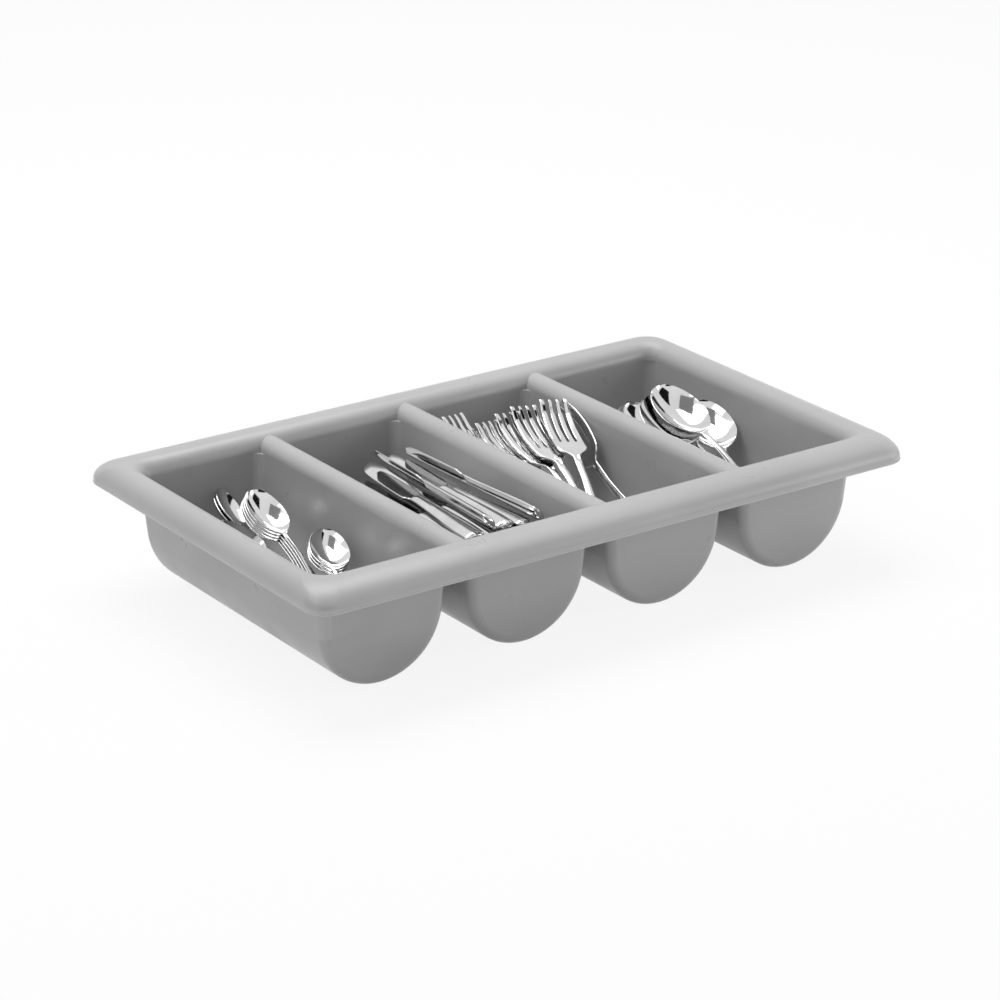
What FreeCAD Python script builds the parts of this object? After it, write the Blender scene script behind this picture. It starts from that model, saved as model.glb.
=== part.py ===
import FreeCAD, Part
import Sketcher
import math
import os

V = FreeCAD.Vector

# A four-compartment cutlery dispenser: one moulded tray with a domed rim, four round-bottomed
# tubs and three hollow dividers, filled with loose table cutlery.
# X runs along the long side, Y along the short side, Z is up.
# The origin is at the middle of the footprint, on the surface the tray stands on.

# Driving dimensions in millimetres and degrees
SIZES = {
    "tray_length": 530.0,          # outside, along X
    "tray_width": 325.0,           # outside, along Y
    "tray_height": 100.0,
    "wall": 2.5,                   # thickness of the moulding
    "short_rim": 26.8,             # from the outside to the foot of the lip, on the short sides
    "long_rim": 37.5,              # the same on the long sides
    "divider": 20.4,               # between the mouths of two compartments
    "side_lean": 2.9,              # how much a tub's side wall leans out towards its mouth
    "end_lean": 5.5,               # how much a tub's end wall leans out
    "foot_depth": 0.35,            # what the flat foot takes off a tub's bottom
    "corner_round": 7.5,           # inside, between a tub's end wall and its sides
    "mouth_corner": 9.0,           # plan radius of the outer corners of the rim's opening
    "lip_radius": 13.0,            # rolled edge from the rim's top down into a tub
    "rim_depth": 17.0,             # from the rim's top to the bottom of its skirt
    "skirt_height": 3.0,           # upright band at the bottom of the rim
    "short_shoulder": 13.4,        # run of the rim's outer curve on the short sides
    "long_shoulder": 23.6,         # run of the rim's outer curve on the long sides
    "rim_corner": 17.0,            # plan radius of the rim's corners
    "clearance": 0.35,             # least gap left between loose pieces
    "sheet_metal": 2.0,            # thickness of spoon and fork handles
    "nest_step": 2.6,              # between nested handles, without the clearance
    "teaspoon_length": 138.0,
    "teaspoon_bowl_length": 46.0,
    "teaspoon_bowl_width": 31.0,
    "teaspoon_bowl_depth": 6.5,
    "teaspoon_handle_width": 15.0,
    "soup_spoon_length": 180.0,
    "soup_spoon_bowl_length": 62.0,
    "soup_spoon_bowl_width": 43.0,
    "soup_spoon_bowl_depth": 9.0,
    "soup_spoon_handle_width": 20.0,
    "fork_length": 195.0,
    "fork_head_length": 70.0,
    "fork_head_width": 25.0,
    "fork_tine_length": 47.0,
    "fork_slot_width": 2.3,
    "fork_tip_gap": 3.2,           # width of the slots at the tips of the tines
    "fork_arch": 11.0,             # how high the neck stands above the handle's lowest line
    "fork_handle_width": 20.0,
    "knife_length": 172.0,
    "knife_blade_length": 80.0,
    "knife_blade_width": 19.0,
    "knife_blade_thickness": 1.8,
    "knife_handle_width": 17.0,
    "knife_handle_thickness": 7.0,
    "knife_spacing": 20.6,         # between knives that lie side by side
}

SHOULDER_STEPS = 6
TUB_COUNT = 4
HALF_SPAN = (TUB_COUNT - 1) / 2    # from the middle to the outermost tub, in pitches
CREST_INTO_LIP = 0.7               # how far a divider's crest runs into the rim's lip, in lip radii
CUT_MARGIN = 2.0                   # how far a cutting solid runs past what it cuts

# What follows from the driving dimensions
DERIVED = {
    # inside half width, where a tub's wall meets its lip
    "mouth_half_width": "(sizes.tray_length / 2 - sizes.short_rim - %g * sizes.divider) / %d"
                        % (HALF_SPAN, TUB_COUNT),
    # from one compartment to the next
    "pitch": "2 * mouth_half_width + sizes.divider",
    # inside radius of a tub's round bottom
    "tub_radius": "mouth_half_width - sizes.side_lean",
    # inside half length of a tub, where the end wall meets the lip
    "mouth_half_length": "sizes.tray_width / 2 - sizes.long_rim",
    # inside half length of a tub at its bottom
    "floor_half_length": "mouth_half_length - sizes.end_lean",
}

doc = FreeCAD.newDocument("cutlery_dispenser")


def fill_sheet(name, cells):
    filled = doc.addObject("Spreadsheet::Sheet", name)
    for row, (alias, content) in enumerate(cells.items(), start=1):
        filled.set("A%d" % row, alias)
        filled.set("B%d" % row, content)
        filled.setAlias("B%d" % row, alias)
    doc.recompute()
    return filled


sheet = fill_sheet("sizes", {name: repr(value) for name, value in SIZES.items()})
derived = fill_sheet("derived", {name: "=" + formula for name, formula in DERIVED.items()})


def size(name):
    return float((derived if name in DERIVED else sheet).get(name))


# Helpers for sketches

def origin_plane(body, role):
    return next(f for f in body.Origin.OriginFeatures if f.Role == role)


def add_sketch(body, name, role, lift=None):
    sketch = body.newObject("Sketcher::SketchObject", name)
    sketch.AttachmentSupport = [(origin_plane(body, role), "")]
    sketch.MapMode = "FlatFace"
    if lift is not None:
        sketch.setExpression("AttachmentOffset.Base.z", lift)
    return sketch


def drive(sketch, name, expression, *constraint):
    # one dimension of a sketch, bound to an expression over the sheet
    index = sketch.addConstraint(Sketcher.Constraint(*constraint))
    sketch.renameConstraint(index, name)
    sketch.setExpression("Constraints." + name, expression)


def rounded_rectangle(sketch, half_x, half_y, radius, start):
    # four sides and four corner arcs round the sketch's origin; start holds rough numbers
    hx, hy, r = start
    corners = [(1, 1), (-1, 1), (-1, -1), (1, -1)]
    for index, (sx, sy) in enumerate(corners):
        centre = V(sx * (hx - r), sy * (hy - r), 0)
        turn = index * math.pi / 2
        circle = Part.Circle(centre, V(0, 0, 1), r)
        sketch.addGeometry(Part.ArcOfCircle(circle, turn, turn + math.pi / 2), False)
    for index in range(4):
        first = sketch.Geometry[index].EndPoint
        second = sketch.Geometry[(index + 1) % 4].StartPoint
        sketch.addGeometry(Part.LineSegment(first, second), False)
    for index in range(4):
        line = 4 + index
        sketch.addConstraint(Sketcher.Constraint("Tangent", index, 2, line, 1))
        sketch.addConstraint(Sketcher.Constraint("Tangent", line, 2, (index + 1) % 4, 1))
        if index:
            sketch.addConstraint(Sketcher.Constraint("Equal", 0, index))
    for line, kind in ((4, "Horizontal"), (5, "Vertical"), (6, "Horizontal"), (7, "Vertical")):
        sketch.addConstraint(Sketcher.Constraint(kind, line))
    drive(sketch, "corner", radius, "Radius", 0, r)
    drive(sketch, "right", half_x, "DistanceX", -1, 1, 7, 1, hx)
    drive(sketch, "left", half_x, "DistanceX", 5, 1, -1, 1, hx)
    drive(sketch, "back", half_y, "DistanceY", -1, 1, 4, 1, hy)
    drive(sketch, "front", half_y, "DistanceY", 6, 1, -1, 1, hy)


def top_edges(shape, height, half_x, half_y):
    # the edges of an opening in a flat top: they lie at the height and inside the given half sizes
    names = []
    for index, edge in enumerate(shape.Edges, start=1):
        box = edge.BoundBox
        flat = abs(box.ZMin - height) < 1e-4 and abs(box.ZMax - height) < 1e-4
        inside = max(-box.XMin, box.XMax) < half_x and max(-box.YMin, box.YMax) < half_y
        if flat and inside:
            names.append("Edge%d" % index)
    return names


# The rim: a domed plate with one big opening whose edge is rolled over.
# inset 0 gives the outside, inset wall gives the hollow under it.

def rim_solid(name, inset):
    body = doc.addObject("PartDesign::Body", name)
    margin = 0.0 if inset == "0" else CUT_MARGIN
    inset_mm = 0.0 if inset == "0" else size("wall")
    skirt_bottom = "sizes.tray_height - sizes.rim_depth"
    sections = []

    def section(label, cosine, lift):
        sketch = add_sketch(body, name + "_" + label, "XY_Plane", lift)
        run_x = "(%s) + (sizes.short_shoulder - (%s)) * (1 - %.6f)" % (inset, inset, cosine)
        run_y = "(%s) + (sizes.long_shoulder - (%s)) * (1 - %.6f)" % (inset, inset, cosine)
        rough_x = inset_mm + (size("short_shoulder") - inset_mm) * (1 - cosine)
        rough_y = inset_mm + (size("long_shoulder") - inset_mm) * (1 - cosine)
        rounded_rectangle(sketch,
                          "sizes.tray_length / 2 - (%s)" % run_x,
                          "sizes.tray_width / 2 - (%s)" % run_y,
                          "sizes.rim_corner - (%s)" % inset,
                          (size("tray_length") / 2 - rough_x, size("tray_width") / 2 - rough_y,
                           size("rim_corner") - inset_mm))
        sections.append(sketch)

    section("bottom", 1.0, "%s - %g" % (skirt_bottom, margin))
    for step in range(SHOULDER_STEPS + 1):
        angle = math.radians(90.0 * step / SHOULDER_STEPS)
        cosine, sine = math.cos(angle), math.sin(angle)
        lift = "%s + sizes.skirt_height + (sizes.rim_depth - sizes.skirt_height - (%s)) * %.6f"
        section("step%d" % step, cosine, lift % (skirt_bottom, inset, sine))

    skirt = body.newObject("PartDesign::AdditiveLoft", name + "_skirt")
    skirt.Profile = sections[0]
    skirt.Sections = [sections[1]]
    skirt.Ruled = True
    dome = body.newObject("PartDesign::AdditiveLoft", name + "_dome")
    dome.Profile = sections[1]
    dome.Sections = sections[2:]

    opening = add_sketch(body, name + "_opening", "XY_Plane",
                         "sizes.tray_height - sizes.rim_depth - %g" % (CUT_MARGIN + margin))
    half_x = "%g * derived.pitch + derived.mouth_half_width + (%s)" % (HALF_SPAN, inset)
    half_y = "derived.mouth_half_length + (%s)" % inset
    rounded_rectangle(opening, half_x, half_y, "sizes.mouth_corner + (%s)" % inset,
                      (HALF_SPAN * size("pitch") + size("mouth_half_width") + inset_mm,
                       size("mouth_half_length") + inset_mm, size("mouth_corner") + inset_mm))
    cut = body.newObject("PartDesign::Pocket", name + "_mouth")
    cut.Profile = opening
    cut.Reversed = True
    cut.Type = "ThroughAll"
    doc.recompute()

    lip = body.newObject("PartDesign::Fillet", name + "_lip")
    edges = top_edges(cut.Shape, size("tray_height") - inset_mm,
                      size("tray_length") / 2 - size("short_shoulder"),
                      size("tray_width") / 2 - size("long_shoulder"))
    lip.Base = (cut, edges)
    lip.setExpression("Radius", "sizes.lip_radius - (%s)" % inset)
    doc.recompute()
    return body


# A tub: a round-bottomed trough along Y, up to the foot of the lips.
# offset 0 gives the space inside, offset wall the outside.

def tub_solid(name, offset):
    body = doc.addObject("PartDesign::Body", name)
    offset_mm = 0.0 if offset == "0" else size("wall")
    lip_foot = "(sizes.tray_height - sizes.lip_radius)"
    lip_foot_mm = size("tray_height") - size("lip_radius")
    radius = size("tub_radius") + offset_mm
    centre_z = size("tub_radius") + size("wall") - size("foot_depth")
    half_top = size("mouth_half_width") + offset_mm
    # the wall runs from the round bottom to (half_top, lip_foot), touching the circle
    reach = math.hypot(half_top, lip_foot_mm - centre_z)
    lean = math.acos(radius / reach) - math.atan2(lip_foot_mm - centre_z, half_top)
    touch = V(radius * math.cos(lean), centre_z - radius * math.sin(lean), 0)

    profile = add_sketch(body, name + "_profile", "XZ_Plane")
    circle = Part.Circle(V(0, centre_z, 0), V(0, 0, 1), radius)
    profile.addGeometry(Part.ArcOfCircle(circle, math.pi + lean, 2 * math.pi - lean), False)
    corners = [touch, V(half_top, lip_foot_mm, 0), V(-half_top, lip_foot_mm, 0),
               V(-touch.x, touch.y, 0)]
    for first, second in zip(corners, corners[1:]):
        profile.addGeometry(Part.LineSegment(first, second), False)
    last = len(corners) - 1
    profile.addConstraint(Sketcher.Constraint("Tangent", 0, 2, 1, 1))
    for line in range(1, last):
        profile.addConstraint(Sketcher.Constraint("Coincident", line, 2, line + 1, 1))
    profile.addConstraint(Sketcher.Constraint("Tangent", last, 2, 0, 1))
    profile.addConstraint(Sketcher.Constraint("PointOnObject", 0, 3, -2))
    drive(profile, "radius", "derived.tub_radius + (%s)" % offset, "Radius", 0, radius)
    drive(profile, "centre", "derived.tub_radius + sizes.wall - sizes.foot_depth",
          "DistanceY", -1, 1, 0, 3, centre_z)
    half_width = "derived.mouth_half_width + (%s)" % offset
    drive(profile, "right", half_width, "DistanceX", -1, 1, 1, 2, half_top)
    drive(profile, "left", half_width, "DistanceX", last, 1, -1, 1, half_top)
    drive(profile, "foot_right", lip_foot, "DistanceY", -1, 1, 1, 2, lip_foot_mm)
    drive(profile, "foot_left", lip_foot, "DistanceY", -1, 1, last, 1, lip_foot_mm)

    run = body.newObject("PartDesign::Pad", name + "_run")
    run.Profile = profile
    run.Midplane = True
    run.setExpression("Length", "2 * (derived.mouth_half_length + (%s))" % offset)

    # the end walls lean out: a wedge comes off each end of the run
    low_mm = size("floor_half_length") + offset_mm
    high_mm = size("mouth_half_length") + offset_mm
    ends = add_sketch(body, name + "_ends", "YZ_Plane")
    drop_mm = CUT_MARGIN
    slope = (high_mm - low_mm) / lip_foot_mm
    for side in (1, -1):
        base = len(ends.Geometry)
        inner = V(side * (low_mm - slope * drop_mm), -drop_mm, 0)
        outer = V(side * high_mm, lip_foot_mm, 0)
        corner = V(side * (high_mm + drop_mm), lip_foot_mm, 0)
        bottom = V(side * (high_mm + drop_mm), -drop_mm, 0)
        points = [inner, outer, corner, bottom, inner]
        for first, second in zip(points, points[1:]):
            ends.addGeometry(Part.LineSegment(first, second), False)
        for line in range(4):
            joint = Sketcher.Constraint("Coincident", base + line, 2, base + (line + 1) % 4, 1)
            ends.addConstraint(joint)
        ends.addConstraint(Sketcher.Constraint("Horizontal", base + 1))
        ends.addConstraint(Sketcher.Constraint("Vertical", base + 2))
        ends.addConstraint(Sketcher.Constraint("Horizontal", base + 3))
        tag = "back" if side > 0 else "front"
        low = ("derived.floor_half_length + (%s) - %g * (derived.mouth_half_length"
               " - derived.floor_half_length) / %s" % (offset, drop_mm, lip_foot))
        high = "derived.mouth_half_length + (%s)" % offset

        def across(label, expression, vertex, value):
            first, second = ((-1, 1), vertex) if side > 0 else (vertex, (-1, 1))
            drive(ends, label, expression, "DistanceX", *first, *second, value)

        across(tag + "_low", low, (base, 1), abs(inner.x))
        across(tag + "_high", high, (base, 2), high_mm)
        across(tag + "_out", high + " + %g" % drop_mm, (base + 1, 2), high_mm + drop_mm)
        drive(ends, tag + "_foot", lip_foot, "DistanceY", -1, 1, base, 2, lip_foot_mm)
        drive(ends, tag + "_drop", "%g" % drop_mm, "DistanceY", base, 1, -1, 1, drop_mm)
    trim = body.newObject("PartDesign::Pocket", name + "_trim")
    trim.Profile = ends
    trim.Midplane = True
    trim.setExpression("Length", "4 * (derived.mouth_half_width + (%s))" % offset)
    doc.recompute()

    # round every edge between an end wall and the trough, but not the flat top
    picked = []
    for index, edge in enumerate(trim.Shape.Edges, start=1):
        box = edge.BoundBox
        at_end = min(abs(box.YMin), abs(box.YMax)) > low_mm - 1.0 and box.YMin * box.YMax > 0
        flat_top = box.ZMin > lip_foot_mm - 0.01
        if at_end and not flat_top:
            picked.append("Edge%d" % index)
    rounding = body.newObject("PartDesign::Fillet", name + "_round")
    rounding.Base = (trim, picked)
    rounding.setExpression("Radius", "sizes.corner_round")
    doc.recompute()
    return body


# The tray is one moulding: everything solid is joined, then everything hollow is taken away.

def along_y(name, radius, half_length, height):
    # a round bar along Y, centred on the origin in X and Y
    bar = doc.addObject("Part::Cylinder", name)
    bar.setExpression("Radius", radius)
    bar.setExpression("Height", "2 * (%s)" % half_length)
    bar.Placement = FreeCAD.Placement(V(0, 0, 0), FreeCAD.Rotation(V(1, 0, 0), -90))
    bar.setExpression(".Placement.Base.y", "-(%s)" % half_length)
    bar.setExpression(".Placement.Base.z", height)
    return bar


def centred_box(name, half_x, half_y, bottom, top):
    box = doc.addObject("Part::Box", name)
    box.setExpression("Length", "2 * (%s)" % half_x)
    box.setExpression("Width", "2 * (%s)" % half_y)
    box.setExpression("Height", "(%s) - (%s)" % (top, bottom))
    box.setExpression(".Placement.Base.x", "-(%s)" % half_x)
    box.setExpression(".Placement.Base.y", "-(%s)" % half_y)
    box.setExpression(".Placement.Base.z", bottom)
    return box


def repeated(name, source, count):
    # copies of one solid, a pitch apart along X and centred on the origin
    copies = []
    for index in range(count):
        copy = doc.addObject("Part::Compound", "%s_%d" % (name, index + 1))
        copy.Links = [source]
        copy.setExpression(".Placement.Base.x", "%g * derived.pitch" % (index - (count - 1) / 2))
        copies.append(copy)
    return copies


def build_tray():
    lip_foot = "sizes.tray_height - sizes.lip_radius"
    crest_radius = "derived.pitch / 2 - derived.mouth_half_width"
    crest = along_y("divider_crest", crest_radius,
                    "derived.mouth_half_length + %g * sizes.lip_radius" % CREST_INTO_LIP, lip_foot)
    # closes the corners where a tub's rounded end meets the square end of a divider
    web = centred_box("corner_web", "%s + sizes.corner_round" % crest_radius,
                      "derived.mouth_half_length + sizes.wall",
                      "%s - sizes.corner_round" % lip_foot, lip_foot)
    solids = [rim_solid("rim_outside", "0")]
    solids += repeated("tub_wall", tub_solid("tub_outside", "sizes.wall"), TUB_COUNT)
    solids += repeated("divider", crest, TUB_COUNT - 1)
    solids += repeated("divider_web", web, TUB_COUNT - 1)

    under_crest = along_y("under_crest", "%s - sizes.wall" % crest_radius,
                          "derived.mouth_half_length + sizes.lip_radius", lip_foot)
    between = centred_box("between_tubs", "%s - sizes.wall" % crest_radius,
                          "derived.mouth_half_length + sizes.lip_radius",
                          "sizes.tray_height / 2", lip_foot)
    hollows = [rim_solid("rim_hollow", "sizes.wall")]
    hollows += repeated("tub_space", tub_solid("tub_inside", "0"), TUB_COUNT)
    hollows += repeated("crest_space", under_crest, TUB_COUNT - 1)
    hollows += repeated("gap_space", between, TUB_COUNT - 1)
    hollows.append(centred_box("below_feet", "sizes.tray_length / 2", "sizes.tray_width / 2",
                               "-%g" % CUT_MARGIN, "0"))

    solid = doc.addObject("Part::MultiFuse", "tray_solid")
    solid.Shapes = solids
    hollow = doc.addObject("Part::MultiFuse", "tray_hollow")
    hollow.Shapes = hollows
    tray = doc.addObject("Part::Cut", "tray")
    tray.Base = solid
    tray.Tool = hollow
    tray.Label = "tray_moulding"
    doc.recompute()
    return tray


# Cutlery lies along Y with its handle's end at the origin, its head towards +Y and its hollow side
# up. Each piece is lofted through closed sections of four edges, which stations describe as
# (y, centre x, half width, rise of the edges, edge thickness, sag of the top, sag of the bottom).
# A sag goes down from the edges: positive makes the top hollow, negative crowns it.

EDGE_SHARE = 0.7                   # thickness of a handle's edge, in sheet thicknesses
CROWN_SHARE = 0.3                  # how much thicker a handle is at its middle line
RIM_SHARE = 0.6                    # thickness of a spoon's rim, in sheet thicknesses
TINE_SHARE = 0.9                   # thickness of a fork's tines, in sheet thicknesses
TINE_CROWN = 0.4                   # how far a fork's head is hollowed, in millimetres
NECK_SHARE = 0.3                   # width of a neck, in widths of its handle
SPOON_RISES = (0.75, 0.45)         # rise of a handle's end and of its lowest part, in neck rises
FORK_RISES = (0.65, 0.40)
GRIP_EDGE = 0.3                    # thickness of a knife handle's edge, in its own thickness
BLADE_EDGE = 0.45                  # thickness of a blade's edge, in its own thickness


def flatware_section(y, x, half, rise, edge, top_sag, bottom_sag):
    left_top, right_top = V(x - half, y, rise + edge / 2), V(x + half, y, rise + edge / 2)
    left_low, right_low = V(x - half, y, rise - edge / 2), V(x + half, y, rise - edge / 2)
    top = Part.Arc(left_top, V(x, y, rise + edge / 2 - top_sag), right_top)
    low = Part.Arc(right_low, V(x, y, rise - edge / 2 - bottom_sag), left_low)
    return Part.Wire([top.toShape(), Part.LineSegment(right_top, right_low).toShape(),
                      low.toShape(), Part.LineSegment(left_low, left_top).toShape()])


def handle_stations(length, width, neck, thick, rises, rise_neck):
    # a handle widest near its rounded end and slimmest at the neck
    edge = EDGE_SHARE * thick
    crown = CROWN_SHARE * thick
    half = width / 2
    rise_end, rise_low = rises[0] * rise_neck, rises[1] * rise_neck
    mixed = 0.6 * rise_end + 0.4 * rise_low
    middle = (rise_low + rise_neck) / 2
    return [
        (0.0, 0.0, 0.30 * half, rise_end, edge, -0.3 * crown, 0.3 * crown),
        (0.02 * length, 0.0, 0.72 * half, rise_end, edge, -0.6 * crown, 0.5 * crown),
        (0.07 * length, 0.0, 0.97 * half, rise_end, edge, -crown, crown),
        (0.16 * length, 0.0, 0.93 * half, mixed, edge, -crown, crown),
        (0.34 * length, 0.0, 0.60 * half, rise_low, edge, -crown, crown),
        (0.60 * length, 0.0, 0.5 * neck + 0.10 * half, middle, edge, -crown, crown),
        (0.88 * length, 0.0, 0.5 * neck, rise_neck, edge, -0.6 * crown, crown),
    ]


def loft(stations):
    # straight from station to station
    return Part.makeLoft([flatware_section(*station) for station in stations], True, True)


def spoon(kind):
    length, bowl = size(kind + "_length"), size(kind + "_bowl_length")
    half, depth = size(kind + "_bowl_width") / 2, size(kind + "_bowl_depth")
    thick = size("sheet_metal")
    shaft = length - bowl
    handle_width = size(kind + "_handle_width")
    rise_neck = depth + thick
    stations = handle_stations(shaft, handle_width, NECK_SHARE * handle_width, thick,
                               SPOON_RISES, rise_neck)
    # share of the bowl's length, share of its half width, share of its depth
    for along, wide, deep in ((0.04, 0.24, 0.10), (0.13, 0.56, 0.45), (0.27, 0.84, 0.80),
                              (0.44, 0.99, 1.00), (0.62, 0.97, 0.97), (0.79, 0.79, 0.74),
                              (0.91, 0.52, 0.42), (0.97, 0.31, 0.18), (1.00, 0.13, 0.05)):
        # the rim dips a little along the bowl, and the bowl is thicker at its bottom
        rise = rise_neck - 0.1 * depth * math.sin(math.pi * along)
        sag = depth * deep
        stations.append((shaft + along * bowl, 0.0, wide * half, rise, RIM_SHARE * thick,
                         sag, sag + 0.15 * thick))
    return loft(stations)


def fork():
    length, head = size("fork_length"), size("fork_head_length")
    half, thick = size("fork_head_width") / 2, size("sheet_metal")
    shaft = length - head
    handle_width, arch = size("fork_handle_width"), size("fork_arch")
    stations = handle_stations(shaft, handle_width, NECK_SHARE * handle_width, thick,
                               FORK_RISES, arch)
    # share of the head's length, share of its half width, share of the neck's rise
    for along, wide, rise in ((0.04, 0.26, 1.00), (0.09, 0.44, 0.97), (0.14, 0.78, 0.93),
                              (0.20, 0.97, 0.87), (0.27, 1.00, 0.78), (0.40, 1.00, 0.62),
                              (0.60, 0.99, 0.48), (0.80, 0.97, 0.56), (1.00, 0.93, 0.95)):
        stations.append((shaft + along * head, 0.0, wide * half, rise * arch, TINE_SHARE * thick,
                         TINE_CROWN, TINE_CROWN))
    root, end = length - size("fork_tine_length"), length + CUT_MARGIN
    near, far = size("fork_slot_width") / 2, size("fork_tip_gap") / 2
    slots = []
    for index in (-1, 0, 1):
        x = index * half / 2
        outline = Part.Wire([
            Part.Arc(V(x + near, root + near, 0), V(x, root, 0), V(x - near, root + near, 0)).toShape(),
            Part.LineSegment(V(x - near, root + near, 0), V(x - far, end, 0)).toShape(),
            Part.LineSegment(V(x - far, end, 0), V(x + far, end, 0)).toShape(),
            Part.LineSegment(V(x + far, end, 0), V(x + near, root + near, 0)).toShape()])
        slots.append(Part.Face(outline).extrude(V(0, 0, 2 * arch)))
    return loft(stations).cut(slots)


def knife():
    length, blade = size("knife_length"), size("knife_blade_length")
    grip, wide = size("knife_handle_width") / 2, size("knife_blade_width") / 2
    thick, steel = size("knife_handle_thickness"), size("knife_blade_thickness")
    shaft = length - blade
    stations = []
    # share of the handle's length, share of its half width, share of its thickness
    for along, broad, deep in ((0.000, 0.40, 0.40), (0.015, 0.68, 0.66), (0.045, 0.88, 0.86),
                               (0.100, 0.98, 0.97), (0.200, 1.00, 1.00), (0.350, 0.94, 0.98),
                               (0.500, 0.85, 0.95), (0.680, 0.73, 0.90), (0.820, 0.66, 0.86),
                               (0.930, 0.64, 0.82), (0.980, 0.66, 0.60), (1.000, 0.68, 0.40)):
        edge = GRIP_EDGE * deep * thick
        crown = (deep * thick - edge) / 2
        stations.append((along * shaft, 0.0, broad * grip, 0.0, edge, -crown, crown))
    # share of the blade's length, shift of its middle, share of its half width
    for along, shift, broad in ((0.03, 0.00, 0.74), (0.07, 0.00, 0.92), (0.15, 0.00, 0.98),
                                (0.35, 0.00, 1.00), (0.60, 0.00, 1.00), (0.78, 0.02, 0.96),
                                (0.88, 0.10, 0.84), (0.94, 0.20, 0.66), (0.98, 0.32, 0.44),
                                (1.00, 0.44, 0.20)):
        edge = BLADE_EDGE * steel
        crown = (steel - edge) / 2
        stations.append((shaft + along * blade, shift * wide, broad * wide, 0.0, edge, -crown, crown))
    return loft(stations)


# Heaps: each group of pieces lies nested at one angle and is let straight down onto what is
# already in its tub, so every piece rests on another or on the tub, and lifts straight out.

CELL = 1.0                         # plan spacing at which the heaps' heights are kept
SAMPLE_STEP = 0.8 * CELL           # largest distance between the points on a piece
FACET_SAG = 0.2                    # how closely the points follow a curved face
MASTERS = {
    "teaspoon": lambda: spoon("teaspoon"),
    "knife": knife,
    "fork": fork,
    "soup_spoon": lambda: spoon("soup_spoon"),
}


def surface_points(shape):
    # points spread over a shape's surface, closer together than the heaps' cells
    points, triangles = shape.tessellate(FACET_SAG)
    kept = {}
    for corners in triangles:
        a, b, c = (points[index] for index in corners)
        longest = max((b - a).Length, (c - b).Length, (a - c).Length)
        parts = max(1, int(math.ceil(longest / SAMPLE_STEP)))
        for i in range(parts + 1):
            for j in range(parts + 1 - i):
                p = a + (b - a) * (i / parts) + (c - a) * (j / parts)
                kept[tuple(round(2 * value / CELL) for value in p)] = p
    return list(kept.values())


def turned(end_x, end_y, yaw, pitch, roll, step):
    # the placement of a piece whose handle ends at (end_x, end_y), raised by step along its own Z
    turn = (FreeCAD.Rotation(V(0, 0, 1), yaw).multiply(FreeCAD.Rotation(V(1, 0, 0), pitch))
            .multiply(FreeCAD.Rotation(V(0, 1, 0), roll)))
    base = V(end_x, end_y, 0).add(turn.multVec(V(0, 0, step)))
    return FreeCAD.Placement(base, turn)


def tub_profile():
    # numbers that describe a tub's inside: middle of the round bottom, then its lip
    return (size("tub_radius") - size("clearance"),
            size("tub_radius") + size("wall") - size("foot_depth"),
            size("mouth_half_width") - size("clearance"), size("floor_half_length") - size("clearance"),
            size("mouth_half_length") - size("clearance"), size("tray_height") - size("lip_radius"),
            size("lip_radius") + size("clearance"))


def over_wall(distance, low_distance, low_z, high_distance, lip_foot, lip):
    # height of a leaning wall and the rolled lip above it, at a distance from the tub's middle
    if distance <= low_distance:
        return 0.0
    if distance <= high_distance:
        return low_z + (lip_foot - low_z) * (distance - low_distance) / (high_distance - low_distance)
    run = min(distance - high_distance, lip)
    return lip_foot + math.sqrt(lip * lip - (lip - run) ** 2)


def height_in_tub(x, y, profile):
    # height of the tub's inside below a point, with the clearance added
    radius, centre_z, half_width, low_length, high_length, lip_foot, lip = profile
    across, along = abs(x), abs(y)
    if across < radius:
        side = centre_z - math.sqrt(radius * radius - across * across)
    else:
        side = over_wall(across, radius, centre_z, half_width, lip_foot, lip)
    return max(side, over_wall(along, low_length, 0.0, high_length, lip_foot, lip))


def let_down(heap, clouds):
    # how far a group has to rise from where it is to clear the heap and the tub by the clearance
    gap = size("clearance")
    profile = tub_profile()
    lift = -math.inf
    for cloud in clouds:
        for x, y, z in cloud:
            lift = max(lift, height_in_tub(x, y, profile) - z)
            column, row = int(x // CELL), int(y // CELL)
            for key in ((column, row), (column + 1, row), (column - 1, row),
                        (column, row + 1), (column, row - 1)):
                below = heap.get(key)
                if below is not None and below + gap - z > lift:
                    lift = below + gap - z
    return lift


def add_to_heap(heap, cloud, lift):
    for x, y, z in cloud:
        key = (int(x // CELL), int(y // CELL))
        if z + lift > heap.get(key, -math.inf):
            heap[key] = z + lift


def build_heap(kind, compartment, groups):
    # groups are let down in order; each names the nodes of its pieces from the lowest up
    master = doc.addObject("Part::Feature", kind + "_master")
    master.Shape = MASTERS[kind]()
    local = surface_points(master.Shape)
    middle = "%g * derived.pitch" % (compartment - HALF_SPAN)
    step = size("nest_step") + size("clearance")
    heap, pieces, members = {}, 0, {}
    for names, (end_x, end_y), (yaw, pitch, roll) in groups:
        places = [turned(end_x, end_y, yaw, pitch, roll, step * index)
                  for index in range(len(names))]
        clouds = [[tuple(place.multVec(point)) for point in local] for place in places]
        lift = let_down(heap, clouds)
        for name, place, cloud in zip(names, places, clouds):
            add_to_heap(heap, cloud, lift)
            place.Base.z += lift
            pieces += 1
            piece = doc.addObject("Part::Compound", "%s_piece_%d" % (kind, pieces))
            piece.Links = [master]
            piece.Placement = place
            piece.setExpression(".Placement.Base.x", "%s + %.4f" % (middle, place.Base.x))
            members.setdefault(name, []).append(piece)
    heap_nodes = []
    for name, parts in members.items():
        if len(parts) == 1:
            node = parts[0]
        else:
            node = doc.addObject("Part::Compound", kind + "_group")
            node.Links = parts
        node.Label = name
        heap_nodes.append(node)
    return heap_nodes


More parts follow.
